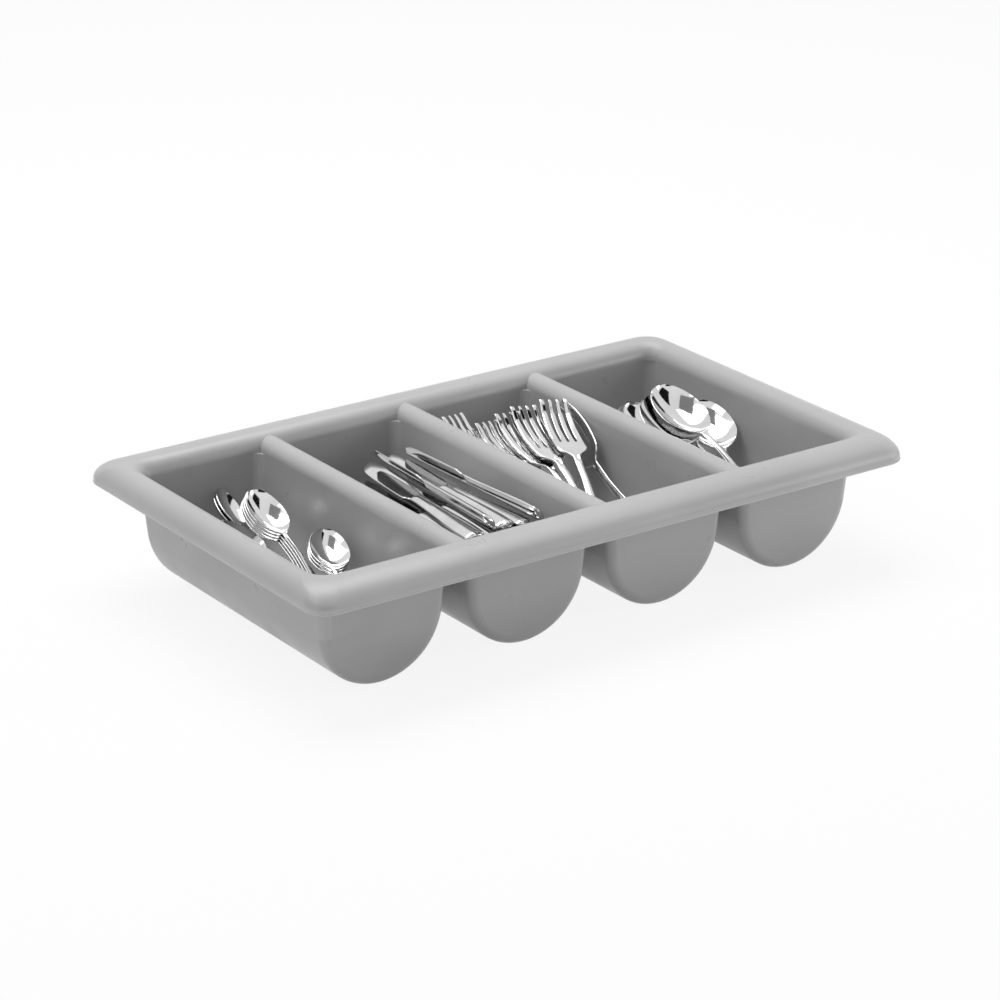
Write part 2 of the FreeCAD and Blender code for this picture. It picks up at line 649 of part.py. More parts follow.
def knife_layers(count):
    # layers of level knives, alternately three and four side by side
    groups = []
    for layer in range(count):
        across = (-1.5, -0.5, 0.5, 1.5) if layer % 2 else (-1, 0, 1)
        end_y = -92 if layer % 2 else -88
        groups += [(["lower_knife_stack"], (place * size("knife_spacing"), end_y), (0, 0, 0))
                   for place in across]
    return groups


# What lies in the tubs, lowest first: the nodes of each nested group from its lowest piece up,
# where its lowest handle ends (X from the tub's middle, Y), then yaw, pitch and roll.
HEAPS = [
    ("teaspoon", 0, [
        (["teaspoon_1", "teaspoon_2"], (-7.6, 1), (-7, 25, 38)),
        (["teaspoon_3"], (30.8, -51), (27, 21, 2)),
        (["teaspoon_4", "teaspoon_5", "teaspoon_6", "teaspoon_7"], (9.3, -57), (6, 31, 5)),
        (["teaspoon_8", "teaspoon_9", "teaspoon_10"], (-15.4, -108), (-22, 20, 10)),
    ]),
    ("knife", 1, knife_layers(8) + [
        (["knife_1"], (-12, -76), (-5, 0, -4)),
        (["knife_2"], (33, -77), (2.7, 0, 5)),
        (["knife_3"], (13, -79), (-3, 0, 0)),
        (["knife_4"], (-4.5, -85), (-3, 0, 50)),
        (["knife_5"], (36, -90), (2, 0, 55)),
    ]),
    ("fork", 2, [
        (["fork_1"], (30.7, -106), (-8, 21, -75)),
        (["fork_2"], (-9, -66), (9, 25, 6)),
        (["fork_3"], (-12, -98), (9, 24, 6)),
        (["fork_4"], (-8, -98), (5, 23.5, 6)),
        (["fork_5"], (-9, -98), (-2, 23, 6)),
        (["fork_6"], (-16, -98), (-9, 22.5, 6)),
        (["fork_7"], (-22, -98), (-19, 22, 6)),
    ]),
    ("soup_spoon", 3, [
        (["soup_spoon_1"], (-17.7, -85), (-4, 21, 2)),
        (["soup_spoon_2"], (-11.5, -113), (-17, 21, 0)),
        (["soup_spoon_3"], (3.1, -111.4), (4, 23, -6)),
        (["soup_spoon_4"], (7.1, -115.5), (3, 23, -1)),
    ]),
]

nodes = [build_tray()]
for heap in HEAPS:
    nodes += build_heap(*heap)
doc.recompute()

failed = [item.Name for item in doc.Objects if "Invalid" in item.State or "Error" in item.State]
if failed:
    raise RuntimeError("these objects failed to build: " + ", ".join(failed))
for node in nodes:
    if node.Shape.isNull() or not node.Shape.isValid():
        raise RuntimeError("no valid shape for " + node.Label)

os.makedirs("parts", exist_ok=True)
for node in nodes:
    node.Shape.exportStep("parts/%s.step" % node.Label)
    box = node.Shape.BoundBox
    print("%s: %d solids, z %.1f to %.1f mm" % (node.Label, len(node.Shape.Solids), box.ZMin, box.ZMax))
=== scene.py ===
import math
import bmesh
import bpy
from mathutils import Matrix, Vector


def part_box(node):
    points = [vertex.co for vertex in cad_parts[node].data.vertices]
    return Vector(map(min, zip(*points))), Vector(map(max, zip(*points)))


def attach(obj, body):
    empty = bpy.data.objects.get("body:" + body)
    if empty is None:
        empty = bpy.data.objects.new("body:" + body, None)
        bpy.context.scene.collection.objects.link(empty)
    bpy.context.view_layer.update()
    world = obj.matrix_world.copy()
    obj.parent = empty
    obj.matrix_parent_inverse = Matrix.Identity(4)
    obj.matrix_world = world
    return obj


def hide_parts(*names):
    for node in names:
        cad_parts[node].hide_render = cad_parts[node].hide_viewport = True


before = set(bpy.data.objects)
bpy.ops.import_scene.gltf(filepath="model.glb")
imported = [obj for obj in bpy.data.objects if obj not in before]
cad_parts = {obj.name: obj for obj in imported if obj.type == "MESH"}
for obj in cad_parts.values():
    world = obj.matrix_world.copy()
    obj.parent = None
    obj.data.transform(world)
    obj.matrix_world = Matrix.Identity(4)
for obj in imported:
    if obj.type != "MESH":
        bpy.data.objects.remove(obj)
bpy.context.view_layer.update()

# Camera: the photograph's viewpoint, from the near left above the tray
VIEW_AZIMUTH = math.radians(-35.106)
VIEW_ELEVATION = math.radians(21.708)
VIEW_DISTANCE = 2.647
VIEW_TARGET = Vector((0.0, 0.0, 0.050))
VIEW_TILT = math.radians(0.163)
VIEW_REACH = 50.0
LENS_MM = 125.94
SENSOR_MM = 36.0


def add_camera():
    data = bpy.data.cameras.new("camera")
    data.sensor_width = SENSOR_MM
    data.lens = LENS_MM
    data.clip_end = VIEW_REACH
    back = Vector((math.sin(VIEW_AZIMUTH) * math.cos(VIEW_ELEVATION),
                   -math.cos(VIEW_AZIMUTH) * math.cos(VIEW_ELEVATION), math.sin(VIEW_ELEVATION)))
    right = (-back).cross(Vector((0, 0, 1))).normalized()
    up = right.cross(-back)
    forward = -back * math.cos(VIEW_TILT) + up * math.sin(VIEW_TILT)
    up = right.cross(forward)
    camera = bpy.data.objects.new("camera", data)
    turn = Matrix((right, up, -forward)).transposed().to_4x4()
    camera.matrix_world = Matrix.Translation(VIEW_TARGET + back * VIEW_DISTANCE) @ turn
    bpy.context.scene.collection.objects.link(camera)
    bpy.context.scene.camera = camera


# Helpers for node materials

def grey(value):
    return (value, value, value, 1)


def new_material(name):
    material = bpy.data.materials.new(name)
    material.use_nodes = True
    tree = material.node_tree
    tree.nodes.clear()
    return material, tree


def node(tree, kind, **settings):
    # a setting is the value of the input with that name, or else a property of the node
    item = tree.nodes.new(kind)
    for name, value in settings.items():
        if name in item.inputs:
            item.inputs[name].default_value = value
        else:
            setattr(item, name, value)
    return item


def link(tree, source, output, target, entry):
    tree.links.new(source.outputs[output], target.inputs[entry])


def seen_directly(tree):
    # 1 for camera, glossy and transmission rays, 0 for the rays that carry light
    path = tree.nodes.new("ShaderNodeLightPath")
    either = node(tree, "ShaderNodeMath", operation="MAXIMUM")
    link(tree, path, "Is Camera Ray", either, 0)
    link(tree, path, "Is Glossy Ray", either, 1)
    every = node(tree, "ShaderNodeMath", operation="MAXIMUM")
    link(tree, either, 0, every, 0)
    link(tree, path, "Is Transmission Ray", every, 1)
    return every


# Stage: white surroundings, a pale floor that keeps the shadow, soft lamps, and dark cards that
# only reflections see, as a photographer hangs them over polished steel

WHITE = (1, 1, 1, 1)
AMBIENT = 0.34                     # the surroundings as a source of light
FLOOR_REACH = 8.0
FLOOR_TONE = 0.90
FLOOR_GLOW = 0.88                  # how much of the floor's look is plain white

# name, place, size, watts
LAMPS = (
    ("overhead", (0.1, 0.8, 2.3), (2.2, 1.6), 47),
    ("left_side", (-1.6, 0.0, 1.9), (1.2, 1.2), 7),
    ("right_front", (1.3, -1.0, 0.45), (0.7, 0.7), 5.4),
)

# name, place, size, tone
CARDS = (
    ("dark_card_front_right", (0.72, -0.62, 1.00), (1.00, 0.60), 0.012),
    ("dark_card_behind_camera", (-1.9, -2.8, 1.0), (5.0, 2.0), 0.015),
    ("grey_card_left", (-2.6, 0.9, 0.8), (2.0, 1.4), 0.10),
    ("dark_card_low_back", (0.9, 2.4, 0.45), (2.2, 0.25), 0.02),
    ("grey_card_zenith", (-0.3, -0.2, 2.2), (0.9, 1.4), 0.30),
)


def add_world():
    world = bpy.data.worlds.new("studio")
    world.use_nodes = True
    tree = world.node_tree
    tree.nodes.clear()
    out = tree.nodes.new("ShaderNodeOutputWorld")
    white = node(tree, "ShaderNodeBackground", Color=WHITE, Strength=1.0)
    dim = node(tree, "ShaderNodeBackground", Color=WHITE, Strength=AMBIENT)
    mix = tree.nodes.new("ShaderNodeMixShader")
    link(tree, seen_directly(tree), 0, mix, 0)
    link(tree, dim, 0, mix, 1)
    link(tree, white, 0, mix, 2)
    link(tree, mix, 0, out, 0)
    bpy.context.scene.world = world


def add_floor():
    material, tree = new_material("pale_floor")
    out = tree.nodes.new("ShaderNodeOutputMaterial")
    matte = node(tree, "ShaderNodeBsdfDiffuse", Color=grey(FLOOR_TONE))
    glow = node(tree, "ShaderNodeEmission", Color=WHITE, Strength=1.0)
    mix = tree.nodes.new("ShaderNodeMixShader")
    share = node(tree, "ShaderNodeMath", operation="MULTIPLY")
    link(tree, seen_directly(tree), 0, share, 0)
    share.inputs[1].default_value = FLOOR_GLOW
    link(tree, share, 0, mix, 0)
    link(tree, matte, 0, mix, 1)
    link(tree, glow, 0, mix, 2)
    link(tree, mix, 0, out, 0)
    add_stage("floor", [(-FLOOR_REACH, -FLOOR_REACH, 0), (FLOOR_REACH, -FLOOR_REACH, 0),
                        (FLOOR_REACH, FLOOR_REACH, 0), (-FLOOR_REACH, FLOOR_REACH, 0)], material)


def add_stage(name, corners, material):
    mesh = bpy.data.meshes.new(name)
    mesh.from_pydata(corners, [], [(0, 1, 2, 3)])
    mesh.materials.append(material)
    item = bpy.data.objects.new(name, mesh)
    bpy.context.scene.collection.objects.link(item)
    return item


def add_card(name, place, size, tone):
    # a card that faces the tray and shows in reflections alone
    material, tree = new_material(name)
    out = tree.nodes.new("ShaderNodeOutputMaterial")
    paint = node(tree, "ShaderNodeEmission", Color=grey(tone), Strength=1.0)
    link(tree, paint, 0, out, 0)
    facing = (VIEW_TARGET - Vector(place)).to_track_quat("-Z", "Y").to_matrix()
    corners = [Vector(place) + facing @ Vector((x * size[0] / 2, y * size[1] / 2, 0))
               for x, y in ((-1, -1), (1, -1), (1, 1), (-1, 1))]
    card = add_stage(name, corners, material)
    card.visible_camera = False
    card.visible_diffuse = False
    card.visible_shadow = False
    card.visible_transmission = False


def add_lamp(name, place, size, watts):
    data = bpy.data.lights.new(name, "AREA")
    data.shape = "RECTANGLE"
    data.size, data.size_y = size
    data.energy = watts
    lamp = bpy.data.objects.new(name, data)
    lamp.location = place
    lamp.rotation_euler = (VIEW_TARGET - Vector(place)).to_track_quat("-Z", "Y").to_euler()
    bpy.context.scene.collection.objects.link(lamp)


# Materials. Noise scales count patches in a metre, and the depth of relief is in metres.

def noise(tree, scale, detail=2.0, stretch=(1, 1, 1)):
    # noise over the object's own coordinates
    place = tree.nodes.new("ShaderNodeTexCoord")
    mapping = node(tree, "ShaderNodeMapping", Scale=stretch)
    texture = node(tree, "ShaderNodeTexNoise", Scale=scale, Detail=detail)
    link(tree, place, "Object", mapping, "Vector")
    link(tree, mapping, "Vector", texture, "Vector")
    return texture


def ranged(tree, source, output, low, high, from_low=0.3, from_high=0.7):
    remap = tree.nodes.new("ShaderNodeMapRange")
    for name, value in (("From Min", from_low), ("From Max", from_high), ("To Min", low), ("To Max", high)):
        remap.inputs[name].default_value = value
    link(tree, source, output, remap, "Value")
    return remap


def bump(tree, source, output, strength, distance, below=None):
    relief = node(tree, "ShaderNodeBump", Strength=strength, Distance=distance)
    link(tree, source, output, relief, "Height")
    if below is not None:
        link(tree, below, "Normal", relief, "Normal")
    return relief


def blended(tree, share, first, second):
    # a colour between two, by the share's value; the first may be another mix node
    mix = node(tree, "ShaderNodeMix", data_type="RGBA")
    mix.inputs["B"].default_value = second
    if isinstance(first, tuple):
        mix.inputs["A"].default_value = first
    else:
        tree.links.new(first.outputs["Result"], mix.inputs["A"])
    tree.links.new(share.outputs[0], mix.inputs["Factor"])
    return mix


PLASTIC_IOR = 1.50
PLASTIC_TONES = (0.425, 0.465)
SCUFF_TONE = 0.53
SCUFF_SHARE = 0.08
EDGE_HIGHLIGHT_TONE = 0.60                   # painted highlight: a lighter colour on edges that stand out
EDGE_HIGHLIGHT_SHARE = 0.45
PLASTIC_ROUGHNESS = (0.27, 0.40)
STEEL_TONES = (0.61, 0.70)
STEEL_ROUGHNESS = (0.045, 0.11)


def plastic_material():
    # satin moulded plastic: fine spark-eroded grain, faint flow marks, scuffs from the cutlery, and a
    # painted highlight on its sharpest edges
    material, tree = new_material("satin_plastic")
    out = tree.nodes.new("ShaderNodeOutputMaterial")
    shader = node(tree, "ShaderNodeBsdfPrincipled")
    shader.inputs["IOR"].default_value = PLASTIC_IOR
    flow = noise(tree, scale=9.0, detail=3.0, stretch=(1.0, 1.0, 2.0))
    tone = blended(tree, ranged(tree, flow, 0, 0.0, 1.0), *(grey(value) for value in PLASTIC_TONES))
    scratch = noise(tree, scale=70.0, detail=4.0, stretch=(7.0, 0.35, 1.0))
    scuffs = ranged(tree, scratch, 0, 0.0, SCUFF_SHARE, from_low=0.62, from_high=0.78)
    scuffed = blended(tree, scuffs, tone, grey(SCUFF_TONE))
    shape = tree.nodes.new("ShaderNodeNewGeometry")
    # painted highlight: convex edges get a lighter colour, by pointiness
    edge_highlight = ranged(tree, shape, "Pointiness", 0.0, EDGE_HIGHLIGHT_SHARE, from_low=0.51, from_high=0.56)
    edge_highlighted = blended(tree, edge_highlight, scuffed, grey(EDGE_HIGHLIGHT_TONE))
    tree.links.new(edge_highlighted.outputs["Result"], shader.inputs["Base Color"])
    patches = noise(tree, scale=38.0, detail=4.0)
    link(tree, ranged(tree, patches, 0, *PLASTIC_ROUGHNESS), 0, shader, "Roughness")
    wave = bump(tree, noise(tree, scale=16.0), 0, strength=0.35, distance=0.0008)
    grain = bump(tree, noise(tree, scale=1500.0), 0, strength=0.30, distance=0.00006, below=wave)
    link(tree, grain, "Normal", shader, "Normal")
    link(tree, shader, 0, out, 0)
    return material


def steel_material():
    # polished stainless steel with fine scratches and wiping marks
    material, tree = new_material("polished_steel")
    out = tree.nodes.new("ShaderNodeOutputMaterial")
    shader = node(tree, "ShaderNodeBsdfPrincipled", Metallic=1.0)
    marks = noise(tree, scale=55.0, detail=4.0)
    tone = blended(tree, ranged(tree, marks, 0, 0.0, 1.0), *(grey(value) for value in STEEL_TONES))
    tree.links.new(tone.outputs["Result"], shader.inputs["Base Color"])
    link(tree, ranged(tree, marks, 0, *STEEL_ROUGHNESS), 0, shader, "Roughness")
    hairs = noise(tree, scale=260.0, detail=3.0, stretch=(6.0, 0.5, 1.0))
    relief = bump(tree, hairs, 0, strength=0.10, distance=0.00003)
    link(tree, relief, "Normal", shader, "Normal")
    link(tree, shader, 0, out, 0)
    return material


# The tray. Its own solid stays; a thin bead runs round the bottom of its skirt.

BEAD_RADIUS = 0.0010
BEAD_LIFT = 0.0008                 # the bead's middle above the skirt's bottom edge
BEAD_INSET = 0.55                  # how far the bead's middle lies inside the skirt, in radii
BEAD_CORNER_STEPS = 10
BEAD_SIDES = 10
SKIRT_BOTTOM = 0.083
RIM_CORNER = 0.017


def add_rim_bead(material):
    low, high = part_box("tray_moulding")
    path = []
    corners = ((high[0], high[1], 0), (low[0], high[1], 1), (low[0], low[1], 2), (high[0], low[1], 3))
    for x, y, quarter in corners:
        middle = Vector((x - math.copysign(RIM_CORNER, x), y - math.copysign(RIM_CORNER, y), 0))
        for k in range(BEAD_CORNER_STEPS + 1):
            angle = (quarter + k / BEAD_CORNER_STEPS) * math.pi / 2
            path.append((middle, Vector((math.cos(angle), math.sin(angle), 0))))
    loops = []
    for middle, out in path:
        centre = middle + out * (RIM_CORNER - BEAD_RADIUS * BEAD_INSET)
        centre.z = SKIRT_BOTTOM + BEAD_LIFT
        loops.append([centre + BEAD_RADIUS * (out * math.cos(turn) + Vector((0, 0, math.sin(turn))))
                      for turn in (2 * math.pi * j / BEAD_SIDES for j in range(BEAD_SIDES))])
    points = [point for loop in loops for point in loop]
    faces = []
    for k in range(len(loops)):
        this = k * BEAD_SIDES
        follow = (k + 1) % len(loops) * BEAD_SIDES
        for j in range(BEAD_SIDES):
            beside = (j + 1) % BEAD_SIDES
            faces.append((this + j, follow + j, follow + beside, this + beside))
    mesh = bpy.data.meshes.new("rim_bead")
    mesh.from_pydata(points, [], faces)
    mesh.materials.append(material)
    for face in mesh.polygons:
        face.use_smooth = True
    bead = bpy.data.objects.new("rim_bead", mesh)
    bpy.context.scene.collection.objects.link(bead)
    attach(bead, "tray")


# Cutlery. A piece is modelled in millimetres along Y: its handle ends at the origin and its
# hollow side is up. Tables give (share of the length, value) and are joined by smooth curves.

MILLIMETRE = 0.001
STEEL_SHEET = 2.0
ACROSS = 22                        # steps across a section
EDGE_STEPS = 4                     # steps round its edge
LEAST_HALF = 0.05

HANDLE_STEPS = 56
HANDLE_END = 0.96                  # share of the shaft where the handle's loft meets the head's
HANDLE_EDGE = 0.7                  # thickness of the edge, in sheets
HANDLE_CROWN = 0.3
END_REACH = 0.065                  # share of a handle over which its end rounds off
END_THIN = 0.3                     # thickness left at the very end
NECK_SHARE = 0.3                   # width of a neck, in widths of its handle

HEAD_STEPS = 72
HEAD_SKIP = 3                      # the first loops would crowd the handle's last
BOWL_EDGE = 0.6
BOWL_DIP = 0.1                     # how far the bowl's rim sinks, in depths
BOWL_BELLY = 0.15                  # how much thicker the bowl's middle is, in sheets
BOWL_FULLNESS = 1.4
BOWL_NECK = 0.1                    # share of the bowl, and thickness added, next to the neck

FORK_EDGE = 0.9
FORK_HOLLOW = 0.4
TIP_START = 0.8                    # share of the head from where a fork's tines get thinner
TIP_REACH = 0.2
TIP_THINNER = 0.35
TIP_TAPER = 5.0                    # length over which a fork's tines narrow to their tips
SLOT_STEPS = 10
SLOT_LOW = -20.0
SLOT_HIGH = 40.0
SLOT_BEYOND = 1.0
SOFT_EDGE = 0.35
SOFT_ANGLE = 50

KNIFE_STEPS = 60
KNIFE_END_REACH = 0.05
KNIFE_END_THIN = 0.25
GRIP_EDGE = 0.30
BLADE_EDGE = 0.45


def smooth_curve(points, share):
    # passes through the points and never overshoots them
    if share <= points[0][0]:
        return points[0][1]
    if share >= points[-1][0]:
        return points[-1][1]
    index = next(k for k, point in enumerate(points) if share <= point[0])

    def slope(k):
        if k == 0 or k == len(points) - 1:
            return 0.0
        left = (points[k][1] - points[k - 1][1]) / (points[k][0] - points[k - 1][0])
        right = (points[k + 1][1] - points[k][1]) / (points[k + 1][0] - points[k][0])
        return 0.0 if left * right <= 0 else 2 * left * right / (left + right)

    (a, low), (b, high) = points[index - 1], points[index]
    width, u = b - a, (share - a) / (b - a)
    return ((2 * u**3 - 3 * u**2 + 1) * low + (u**3 - 2 * u**2 + u) * width * slope(index - 1)
            + (3 * u**2 - 2 * u**3) * high + (u**3 - u**2) * width * slope(index))


def section_loop(y, middle, half, rise, edge, top_sag, low_sag):
    # a closed section: hollow or crowned top, rounded edges, bottom
    points = []
    half = max(half - edge / 2, LEAST_HALF)
    for side in (1, -1):
        sag = top_sag if side > 0 else low_sag
        for k in range(ACROSS + 1):
            u = side * (2 * k / ACROSS - 1)
            points.append(Vector((middle + half * u, y, rise + side * edge / 2 - sag * (1 - u * u))))
        for k in range(1, EDGE_STEPS):
            angle = math.pi * k / EDGE_STEPS
            points.append(Vector((middle + side * (half + edge / 2 * math.sin(angle)), y,
                                  rise + side * edge / 2 * math.cos(angle))))
    return points


def loops_to_mesh(name, loops):
    # a closed skin over the loops, with normals outward
    count = len(loops[0])
    points = [point for loop in loops for point in loop]
    faces = []
    for k in range(len(loops) - 1):
        for j in range(count):
            a, b = k * count + j, k * count + (j + 1) % count
            faces.append((a, b, b + count, a + count))
    faces.append(tuple(reversed(range(count))))
    faces.append(tuple(range(len(points) - count, len(points))))
    mesh = bpy.data.meshes.new(name)
    mesh.from_pydata(points, [], faces)
    mesh.update()
    fix = bmesh.new()
    fix.from_mesh(mesh)
    bmesh.ops.recalc_face_normals(fix, faces=fix.faces)
    fix.to_mesh(mesh)
    fix.free()
    return mesh


def spread(steps):
    # shares from 0 to 1, close together near both ends
    return [0.5 - 0.5 * math.cos(math.pi * k / steps) for k in range(steps + 1)]


def rounded_end(share, reach):
    # 0 at the very end, 1 from reach on, along an ellipse
    if share >= reach:
        return 1.0
    return math.sqrt(max(0.0, 1 - (1 - share / reach) ** 2))


def handle_loops(shaft, width, neck, thick, rise_end, rise_low, rise_neck):
    half = width / 2
    widths = [(0.0, 0.97 * half), (0.07, 0.97 * half), (0.16, 0.93 * half), (0.34, 0.60 * half),
              (0.60, 0.5 * neck + 0.10 * half), (0.88, 0.5 * neck), (1.0, 0.52 * neck)]
    rises = [(0.0, rise_end), (0.07, rise_end), (0.16, 0.6 * rise_end + 0.4 * rise_low),
             (0.34, rise_low), (0.60, 0.5 * (rise_low + rise_neck)), (0.88, rise_neck), (1.0, rise_neck)]
    loops = []
    for share in spread(HANDLE_STEPS)[:-1]:
        along = share * HANDLE_END
        end = rounded_end(along, END_REACH)
        edge = HANDLE_EDGE * thick * (END_THIN + (1 - END_THIN) * end)
        crown = HANDLE_CROWN * thick * end
        loops.append(section_loop(along * shaft, 0.0, smooth_curve(widths, along) * end,
                                  smooth_curve(rises, along), edge, -crown, crown))
    return loops


def spoon_mesh(name, length, bowl, bowl_width, depth, handle_width):
    half, shaft, thick = bowl_width / 2, length - bowl, STEEL_SHEET
    rise_neck = depth + thick
    neck = NECK_SHARE * handle_width
    loops = handle_loops(shaft, handle_width, neck, thick, 0.75 * rise_neck, 0.45 * rise_neck, rise_neck)
    # the bowl's outline and hollow up to its widest place; beyond it the outline is an ellipse
    widths = [(0.0, 0.5 * neck / half), (0.04, 0.24), (0.13, 0.56), (0.27, 0.84), (0.40, 0.975),
              (0.5, 1.0)]
    depths = [(0.0, 0.0), (0.04, 0.06), (0.13, 0.42), (0.27, 0.80), (0.40, 0.97), (0.5, 1.0)]
    for share in spread(HEAD_STEPS)[HEAD_SKIP:]:
        if share < 0.5:
            wide, deep = smooth_curve(widths, share), smooth_curve(depths, share)
        else:
            wide = math.sqrt(max(0.0, 1 - (2 * share - 1) ** 2))
            deep = wide ** BOWL_FULLNESS
        edge = BOWL_EDGE * thick + BOWL_NECK * thick * max(0.0, 1 - share / BOWL_NECK)
        rise = rise_neck - BOWL_DIP * depth * math.sin(math.pi * share)
        sag = depth * deep
        loops.append(section_loop(shaft + share * bowl, 0.0, wide * half, rise, edge,
                                  sag, sag + BOWL_BELLY * thick))
    return loops_to_mesh(name, loops)


def fork_mesh(name, length, head, width, tine, root_slot, tip_slot, handle_width, rise_neck):
    half, shaft, thick = width / 2, length - head, STEEL_SHEET
    neck = NECK_SHARE * handle_width
    loops = handle_loops(shaft, handle_width, neck, thick, 0.65 * rise_neck, 0.40 * rise_neck, rise_neck)
    widths = [(0.0, 0.5 * neck / half), (0.04, 0.26), (0.09, 0.44), (0.14, 0.78), (0.20, 0.97),
              (0.27, 1.0), (0.40, 1.0), (0.60, 0.99), (0.80, 0.97), (1.0, 0.93)]
    rises = [(0.0, 1.0), (0.04, 1.0), (0.09, 0.97), (0.14, 0.93), (0.20, 0.87), (0.27, 0.78),
             (0.40, 0.62), (0.60, 0.48), (0.80, 0.56), (1.0, 0.95)]
    for share in spread(HEAD_STEPS)[HEAD_SKIP:]:
        edge = thick * (FORK_EDGE - TIP_THINNER * max(0.0, share - TIP_START) / TIP_REACH)
        loops.append(section_loop(shaft + share * head, 0.0, smooth_curve(widths, share) * half,
                                  smooth_curve(rises, share) * rise_neck, edge, FORK_HOLLOW, FORK_HOLLOW))
    blank = bpy.data.objects.new(name, loops_to_mesh(name, loops))
    bpy.context.scene.collection.objects.link(blank)
    tool = slot_tool(length, half, length - tine, root_slot / 2, tip_slot / 2)
    return cut_mesh(blank, tool)


def slot_tool(length, half, root, narrow, wide):
    # prisms for the three slots between the tines, wider at the tips
    prisms = bmesh.new()
    for index in (-1, 0, 1):
        x = index * half / 2
        outline = []
        for k in range(SLOT_STEPS + 1):
            angle = math.pi + math.pi * k / SLOT_STEPS
            outline.append((x + narrow * math.cos(angle), root + narrow + narrow * math.sin(angle)))
        outline += [(x + wide, length - TIP_TAPER), (x + 1.5 * wide, length + SLOT_BEYOND),
                    (x - 1.5 * wide, length + SLOT_BEYOND), (x - wide, length - TIP_TAPER)]
        bottom = [prisms.verts.new((x, y, SLOT_LOW)) for x, y in outline]
        top = [prisms.verts.new((x, y, SLOT_HIGH)) for x, y in outline]
        prisms.faces.new(list(reversed(bottom)))
        prisms.faces.new(top)
        for k in range(len(outline)):
            follow = (k + 1) % len(outline)
            prisms.faces.new((bottom[k], bottom[follow], top[follow], top[k]))
    mesh = bpy.data.meshes.new("slots")
    prisms.to_mesh(mesh)
    prisms.free()
    tool = bpy.data.objects.new("slots", mesh)
    bpy.context.scene.collection.objects.link(tool)
    return tool


def cut_mesh(blank, tool):
    # the blank without the tool's space, its edges softened; the helper objects go
    cut = blank.modifiers.new("slots", "BOOLEAN")
    cut.operation = "DIFFERENCE"
    cut.solver = "EXACT"
    cut.object = tool
    bevel = blank.modifiers.new("soft_edges", "BEVEL")
    bevel.width = SOFT_EDGE
    bevel.segments = 2
    bevel.limit_method = "ANGLE"
    bevel.angle_limit = math.radians(SOFT_ANGLE)
    evaluated = blank.evaluated_get(bpy.context.evaluated_depsgraph_get())
    mesh = bpy.data.meshes.new_from_object(evaluated)
    bpy.data.objects.remove(tool)
    bpy.data.objects.remove(blank)
    return mesh


def knife_mesh(name, length, blade, width, steel, grip, thick):
    # a hollow handle in one with a thin blade, which curves to its back at the tip
    shaft = length - blade
    widths = [(0.0, 0.96), (0.045, 0.96), (0.1, 0.98), (0.2, 1.0), (0.35, 0.94), (0.5, 0.85),
              (0.68, 0.73), (0.82, 0.66), (0.93, 0.64), (1.0, 0.68)]
    depths = [(0.0, 0.86), (0.1, 0.97), (0.2, 1.0), (0.35, 0.98), (0.5, 0.95), (0.68, 0.90),
              (0.82, 0.86), (0.93, 0.82), (0.97, 0.70), (1.0, 0.36)]
    loops = []
    for share in spread(KNIFE_STEPS):
        end = rounded_end(share, KNIFE_END_REACH)
        deep = smooth_curve(depths, share) * thick * (KNIFE_END_THIN + (1 - KNIFE_END_THIN) * end)
        edge = GRIP_EDGE * deep
        crown = (deep - edge) / 2
        loops.append(section_loop(share * shaft, 0.0, smooth_curve(widths, share) * grip / 2 * end,
                                  0.0, edge, -crown, crown))
    halves = [(0.0, 0.70), (0.03, 0.74), (0.07, 0.93), (0.15, 0.98), (0.35, 1.0), (0.60, 1.0),
              (0.78, 0.96), (0.88, 0.84), (0.94, 0.66), (0.98, 0.44), (1.0, 0.16)]
    shifts = [(0.0, 0.0), (0.60, 0.0), (0.78, 0.02), (0.88, 0.10), (0.94, 0.20), (0.98, 0.32), (1.0, 0.44)]
    edge = BLADE_EDGE * steel
    crown = (steel - edge) / 2
    for share in spread(KNIFE_STEPS)[HEAD_SKIP:]:
        loops.append(section_loop(shaft + share * blade, smooth_curve(shifts, share) * width / 2,
                                  smooth_curve(halves, share) * width / 2, 0.0, edge, -crown, crown))
    return loops_to_mesh(name, loops)


# How the pieces lie, lowest first: yaw, pitch and roll in degrees, and the numbers of the pieces
# that lie so. Their places come from the boxes of the parts in model.glb.
LYING = {
    "teaspoon": {(-7, 25, 38): (1, 2), (27, 21, 2): (3,), (6, 31, 5): (4, 5, 6, 7),
                 (-22, 20, 10): (8, 9, 10)},
    "knife": {(-5, 0, -4): (1,), (2.7, 0, 5): (2,), (-3, 0, 0): (3,), (-3, 0, 50): (4,),
              (2, 0, 55): (5,)},
    "fork": {(-8, 21, -75): (1,), (9, 25, 6): (2,), (9, 24, 6): (3,), (5, 23.5, 6): (4,),
             (-2, 23, 6): (5,), (-9, 22.5, 6): (6,), (-19, 22, 6): (7,)},
    "soup_spoon": {(-4, 21, 2): (1,), (-17, 21, 0): (2,), (4, 23, -6): (3,), (3, 23, -1): (4,)},
}
LEVEL = (0, 0, 0)
WELD = 1e-6
SHARP_ANGLE = 48


def box_of(points):
    return tuple(Vector([pick(point[axis] for point in points) for axis in range(3)])
                 for pick in (min, max))


def island_boxes(item):
    # the boxes of a node's separate solids, in the order of its vertices
    work = bmesh.new()
    work.from_mesh(item.data)
    bmesh.ops.remove_doubles(work, verts=work.verts, dist=WELD)
    work.verts.ensure_lookup_table()
    seen, boxes = set(), []
    for start in work.verts:
        if start.index in seen:
            continue
        seen.add(start.index)
        queue, group = [start], []
        while queue:
            vert = queue.pop()
            group.append(vert.co.copy())
            for edge in vert.link_edges:
                other = edge.other_vert(vert)
                if other.index not in seen:
                    seen.add(other.index)
                    queue.append(other)
        boxes.append(box_of(group))
    work.free()
    return boxes


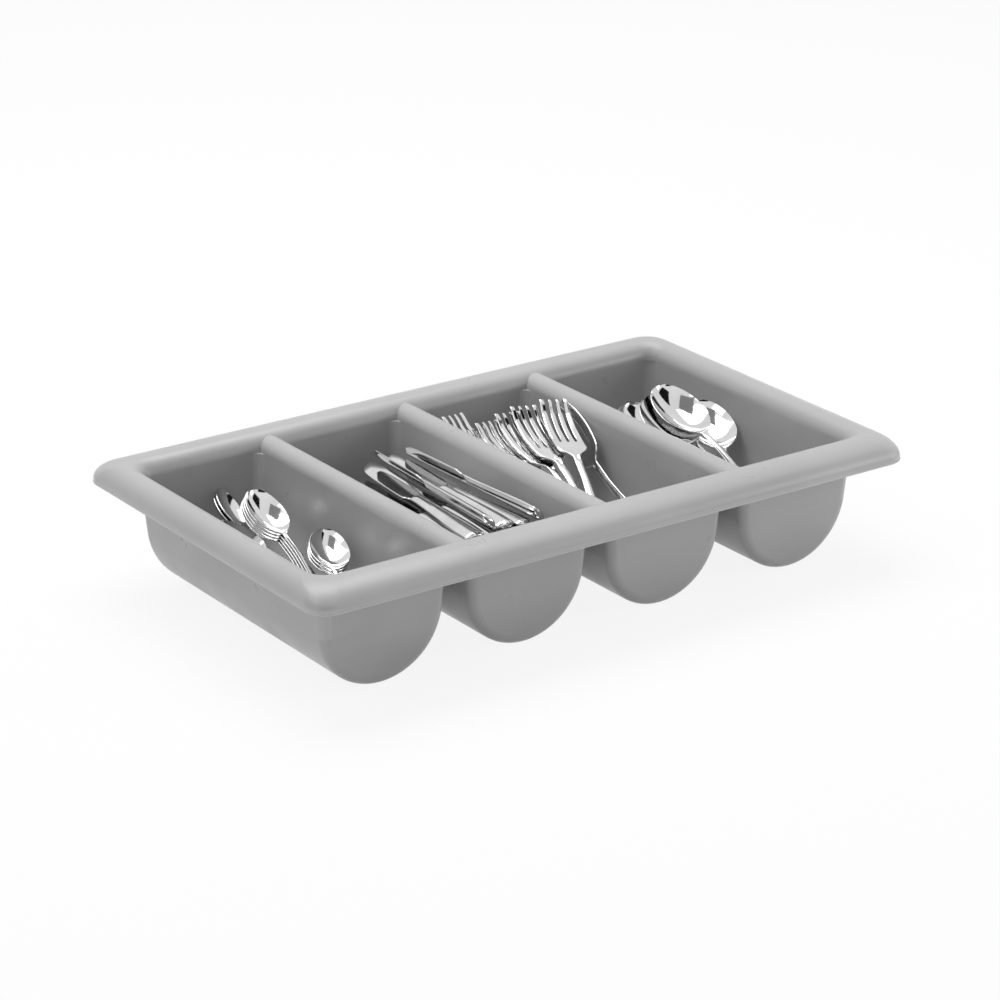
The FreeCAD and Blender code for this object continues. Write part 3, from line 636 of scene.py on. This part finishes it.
def turned_copy(master, angles, box):
    # the master turned by yaw, pitch and roll, with its box centred on the given one
    yaw, pitch, roll = (math.radians(angle) for angle in angles)
    turn = Matrix.Rotation(yaw, 4, "Z") @ Matrix.Rotation(pitch, 4, "X") @ Matrix.Rotation(roll, 4, "Y")
    mesh = master.copy()
    mesh.transform(turn @ Matrix.Scale(MILLIMETRE, 4))
    low, high = box_of([vert.co for vert in mesh.vertices])
    mesh.transform(Matrix.Translation((Vector(box[0]) + Vector(box[1]) - low - high) / 2))
    return mesh


def joined(name, meshes):
    work = bmesh.new()
    for mesh in meshes:
        work.from_mesh(mesh)
    result = bpy.data.meshes.new(name)
    work.to_mesh(result)
    work.free()
    return result


def add_piece(name, mesh, body, node_name, material):
    mesh.materials.clear()
    mesh.materials.append(material)
    for face in mesh.polygons:
        face.use_smooth = True
    mesh.set_sharp_from_angle(angle=math.radians(SHARP_ANGLE))
    piece = bpy.data.objects.new(name, mesh)
    bpy.context.scene.collection.objects.link(piece)
    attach(piece, body)
    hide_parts(node_name)


def add_cutlery(kind, master, material):
    for angles, numbers in LYING[kind].items():
        for number in numbers:
            name = "%s_%d" % (kind, number)
            mesh = turned_copy(master, angles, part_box(name))
            add_piece(name + "_steel", mesh, name, name, material)


def add_knife_stack(master, material):
    name = "lower_knife_stack"
    boxes = island_boxes(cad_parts[name])
    mesh = joined(name, [turned_copy(master, LEVEL, box) for box in boxes])
    add_piece(name + "_steel", mesh, name, name, material)


bpy.context.scene.view_settings.view_transform = "Standard"
add_camera()
add_world()
add_floor()
for lamp_facts in LAMPS:
    add_lamp(*lamp_facts)
for card_facts in CARDS:
    add_card(*card_facts)

PLASTIC = plastic_material()
STEEL = steel_material()
for slot_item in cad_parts["tray_moulding"].material_slots:
    slot_item.material = PLASTIC
add_rim_bead(PLASTIC)

KNIFE = knife_mesh("knife", length=172.0, blade=80.0, width=19.0, steel=1.8, grip=17.0, thick=7.0)
add_knife_stack(KNIFE, STEEL)
add_cutlery("knife", KNIFE, STEEL)
add_cutlery("teaspoon", spoon_mesh("teaspoon", length=138.0, bowl=46.0, bowl_width=31.0, depth=6.5,
                                   handle_width=15.0), STEEL)
add_cutlery("fork", fork_mesh("fork", length=195.0, head=70.0, width=25.0, tine=47.0, root_slot=2.3,
                              tip_slot=3.2, handle_width=20.0, rise_neck=11.0), STEEL)
add_cutlery("soup_spoon", spoon_mesh("soup_spoon", length=180.0, bowl=62.0, bowl_width=43.0,
                                     depth=9.0, handle_width=20.0), STEEL)
